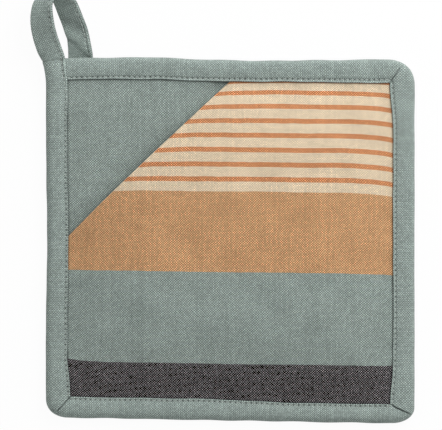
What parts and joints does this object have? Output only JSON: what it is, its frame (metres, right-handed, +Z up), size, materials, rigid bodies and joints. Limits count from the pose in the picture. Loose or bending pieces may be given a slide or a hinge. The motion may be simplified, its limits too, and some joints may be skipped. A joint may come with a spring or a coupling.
{
  "type": "pot holder",
  "caption": "Square padded cloth pot holder with a diagonal hand pocket in striped cloth, a bound edge and a hanging loop at one corner.",
  "frame": {"origin": "centre of the back panel's flat underside, on the surface that the pot holder lies on", "axes": "+Z up out of the pocket side, +Y to the edge with the hanging loop, +X to the right of the pocket side"},
  "size_m": [0.2082, 0.2341, 0.0201],
  "materials": {
    "sage_cloth": "plain woven cotton, matt",
    "cotton_batting": "needled cotton filling",
    "striped_cloth": "plain woven cotton with woven stripes, matt",
    "sage_tape": "plain woven cotton tape, topstitched"
  },
  "bodies": {
    "root": {"back_panel": "sage_cloth", "wadding": "cotton_batting", "lining": "sage_cloth", "front_pocket": "striped_cloth", "binding_tape": "sage_tape"}
  },
  "joints": []
}
